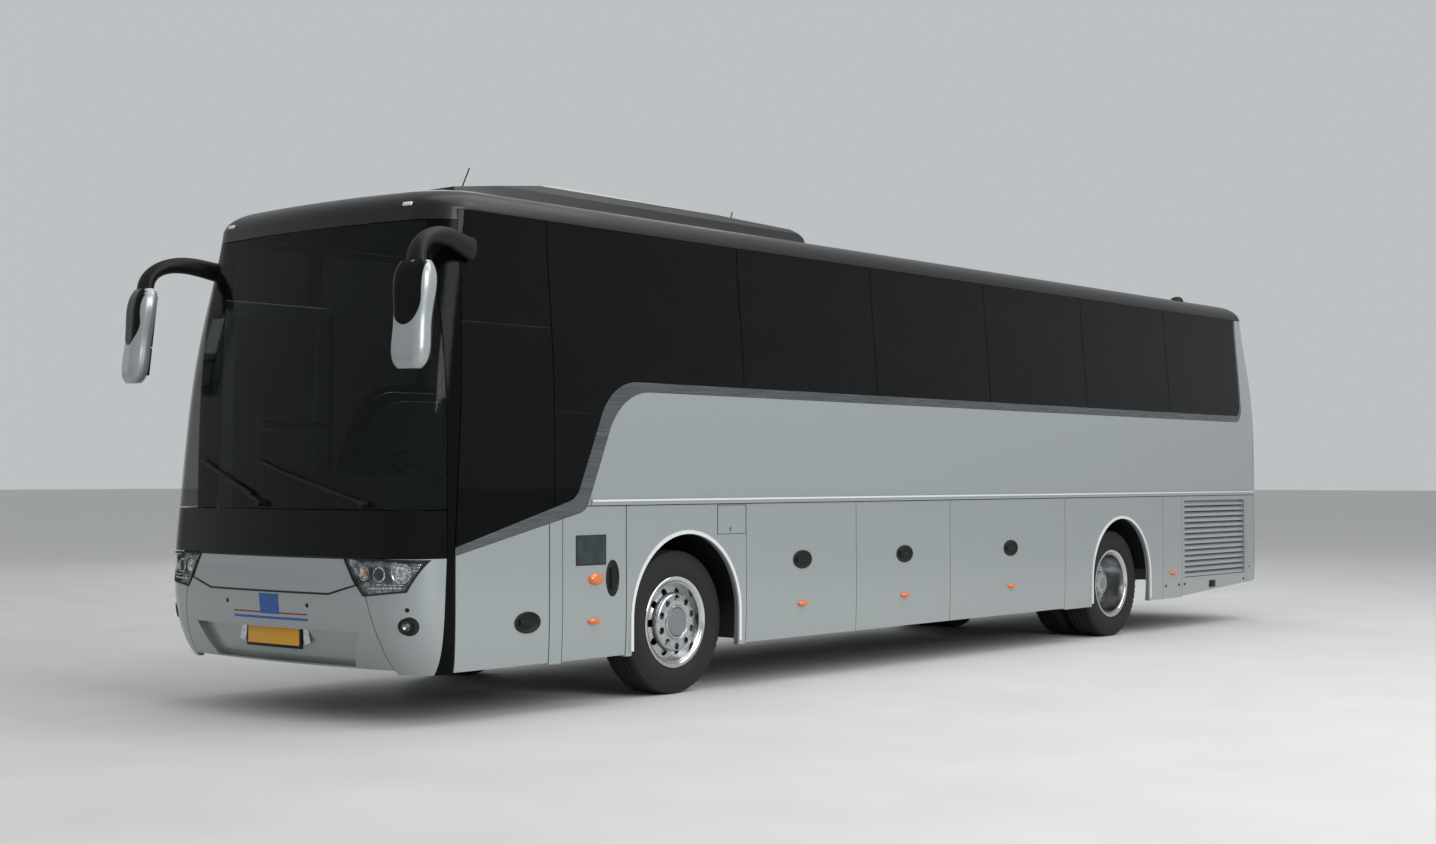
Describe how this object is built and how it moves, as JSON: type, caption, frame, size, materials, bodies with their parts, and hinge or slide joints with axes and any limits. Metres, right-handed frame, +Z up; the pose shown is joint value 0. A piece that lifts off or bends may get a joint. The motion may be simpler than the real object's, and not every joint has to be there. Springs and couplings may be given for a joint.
{
  "type": "coach bus",
  "caption": "Touring coach with a raised saloon, luggage bays between the axles, swinging entrance doors and steered front wheels.",
  "frame": {"origin": "on the ground under the middle of the bounding box, on the centre plane", "axes": "+X forward, +Y to the coach's left, +Z up"},
  "size_m": [12.318, 3.0498, 3.7222],
  "materials": {
    "chassis_steel": "satin black",
    "body_paint": "silver-grey metallic",
    "roof_paint": "dark charcoal metallic",
    "bright_band": "brushed",
    "black_gloss": "gloss black",
    "tinted_glass": "dark tinted",
    "screen_glass": "clear with a faint green tint",
    "lamp_lens": "clear",
    "rear_lens": "red lens",
    "tyre": "matte",
    "alloy": "polished",
    "black_plastic": "matt black",
    "floor_covering": "dark floor covering",
    "seat_cloth": "woven cloth",
    "cast_metal": "black painted casting",
    "aerial": "matt black"
  },
  "bodies": {
    "coach": {"aerials": "aerial", "body_glass": "tinted_glass", "bumper": "body_paint", "bumper_corners": "body_paint", "chassis_frame": "chassis_steel", "dashboard": "black_plastic", "driver_seat": "seat_cloth", "engine": "cast_metal", "fog_lamps": "lamp_lens", "front_axle": "cast_metal", "front_flap": "body_paint", "front_panel": "black_gloss", "headlamps": "lamp_lens", "luggage_hold": "floor_covering", "mirror_arms": "black_plastic", "mirror_heads": "body_paint", "parcel_racks": "black_plastic", "rear_axle": "cast_metal", "rear_bumper": "body_paint", "rear_lamps": "rear_lens", "rear_wall": "body_paint", "roof": "roof_paint", "roof_unit": "roof_paint", "saloon_floor": "floor_covering", "seats": "seat_cloth", "side_bands": "bright_band", "side_panels": "body_paint", "side_skirts": "body_paint", "wheelhouses": "black_plastic", "window_frames": "black_plastic", "windscreen": "screen_glass", "windscreen_surround": "black_gloss", "wipers": "black_plastic"},
    "knuckle_left": {"knuckle_left": "cast_metal"},
    "knuckle_right": {"knuckle_right": "cast_metal"},
    "wheel_front_left": {"front_tyre_left": "tyre", "front_rim_left": "alloy"},
    "wheel_front_right": {"front_tyre_right": "tyre", "front_rim_right": "alloy"},
    "wheels_rear_left": {"rear_tyres_left": "tyre", "rear_rims_left": "alloy"},
    "wheels_rear_right": {"rear_tyres_right": "tyre", "rear_rims_right": "alloy"},
    "hand_wheel": {"steering_wheel": "black_plastic"},
    "locker_left_front": {"locker_left_front": "body_paint"},
    "locker_left_middle": {"locker_left_middle": "body_paint"},
    "locker_left_rear": {"locker_left_rear": "body_paint"},
    "locker_right_front": {"locker_right_front": "body_paint"},
    "locker_right_rear": {"locker_right_rear": "body_paint"},
    "flap_left_front": {"flap_left_front": "body_paint"},
    "flap_left_rear": {"flap_left_rear": "body_paint"},
    "grille_left": {"grille_left": "body_paint"},
    "grille_right": {"grille_right": "body_paint"},
    "engine_lid": {"engine_lid": "body_paint"},
    "door_front_arm": {"door_front_arm": "black_plastic"},
    "door_front": {"door_front": "body_paint", "door_front_glass": "tinted_glass"},
    "door_middle_arm": {"door_middle_arm": "black_plastic"},
    "door_middle": {"door_middle": "body_paint"}
  },
  "joints": [
    {"name": "steer_left", "type": "hinge", "parent": "coach", "child": "knuckle_left", "pos_m": [3.36, 0.9, 0.505], "axis": [0, 0, 1], "range_deg": [-45, 45]},
    {"name": "steer_right", "type": "hinge", "parent": "coach", "child": "knuckle_right", "pos_m": [3.36, -0.9, 0.505], "axis": [0, 0, 1], "range_deg": [-45, 45]},
    {"name": "spin_front_left", "type": "hinge", "parent": "knuckle_left", "child": "wheel_front_left", "pos_m": [3.36, 1.032, 0.505], "axis": [0, 1, 0], "continuous": true},
    {"name": "spin_front_right", "type": "hinge", "parent": "knuckle_right", "child": "wheel_front_right", "pos_m": [3.36, -1.032, 0.505], "axis": [0, 1, 0], "continuous": true},
    {"name": "spin_rear_left", "type": "hinge", "parent": "coach", "child": "wheels_rear_left", "pos_m": [-3.04, 0.865, 0.505], "axis": [0, 1, 0], "continuous": true},
    {"name": "spin_rear_right", "type": "hinge", "parent": "coach", "child": "wheels_rear_right", "pos_m": [-3.04, -0.865, 0.505], "axis": [0, 1, 0], "continuous": true},
    {"name": "turn_hand_wheel", "type": "hinge", "parent": "coach", "child": "hand_wheel", "pos_m": [5.24, 0.62, 1.56], "axis": [-0.5736, 0, 0.8192], "range_deg": [-810, 810]},
    {"name": "open_locker_left_front", "type": "hinge", "parent": "coach", "child": "locker_left_front", "pos_m": [2.018, 1.278, 1.331], "axis": [1, 0, 0], "range_deg": [0, 95]},
    {"name": "open_locker_left_middle", "type": "hinge", "parent": "coach", "child": "locker_left_middle", "pos_m": [0.656, 1.278, 1.331], "axis": [1, 0, 0], "range_deg": [0, 95]},
    {"name": "open_locker_left_rear", "type": "hinge", "parent": "coach", "child": "locker_left_rear", "pos_m": [-0.983, 1.278, 1.331], "axis": [1, 0, 0], "range_deg": [0, 95]},
    {"name": "open_locker_right_front", "type": "hinge", "parent": "coach", "child": "locker_right_front", "pos_m": [1.793, -1.278, 1.331], "axis": [-1, 0, 0], "range_deg": [0, 95]},
    {"name": "open_locker_right_rear", "type": "hinge", "parent": "coach", "child": "locker_right_rear", "pos_m": [-0.02, -1.278, 1.331], "axis": [-1, 0, 0], "range_deg": [0, 95]},
    {"name": "open_grille_left", "type": "hinge", "parent": "coach", "child": "grille_left", "pos_m": [-5.077, 1.278, 1.331], "axis": [1, 0, 0], "range_deg": [0, 95]},
    {"name": "open_grille_right", "type": "hinge", "parent": "coach", "child": "grille_right", "pos_m": [-5.077, -1.278, 1.331], "axis": [-1, 0, 0], "range_deg": [0, 95]},
    {"name": "open_flap_left_front", "type": "hinge", "parent": "coach", "child": "flap_left_front", "pos_m": [5.557, 1.278, 0.75], "axis": [0, 0, -1], "range_deg": [0, 100]},
    {"name": "open_flap_left_rear", "type": "hinge", "parent": "coach", "child": "flap_left_rear", "pos_m": [4.616, 1.278, 0.83], "axis": [0, 0, -1], "range_deg": [0, 100]},
    {"name": "open_engine_lid", "type": "hinge", "parent": "coach", "child": "engine_lid", "pos_m": [-6.193, 0, 1.503], "axis": [0, 1, 0], "range_deg": [0, 80]},
    {"name": "swing_door_front", "type": "hinge", "parent": "coach", "child": "door_front_arm", "pos_m": [4.61, -1.09, 1.5], "axis": [0, 0, -1], "range_deg": [0, 130]},
    {"name": "guide_door_front", "type": "hinge", "parent": "door_front_arm", "child": "door_front", "pos_m": [5.13, -1.13, 1.5], "axis": [0, 0, 1], "range_deg": [0, 130]},
    {"name": "swing_door_middle", "type": "hinge", "parent": "coach", "child": "door_middle_arm", "pos_m": [-1.77, -1.09, 1.2], "axis": [0, 0, -1], "range_deg": [0, 130]},
    {"name": "guide_door_middle", "type": "hinge", "parent": "door_middle_arm", "child": "door_middle", "pos_m": [-1.25, -1.13, 1.2], "axis": [0, 0, 1], "range_deg": [0, 130]}
  ],
  "couplings": [
    {"joint": "steer_right", "follows": "steer_left", "ratio": 1},
    {"joint": "turn_hand_wheel", "follows": "steer_left", "ratio": 18},
    {"joint": "guide_door_front", "follows": "swing_door_front", "ratio": 1},
    {"joint": "guide_door_middle", "follows": "swing_door_middle", "ratio": 1}
  ]
}
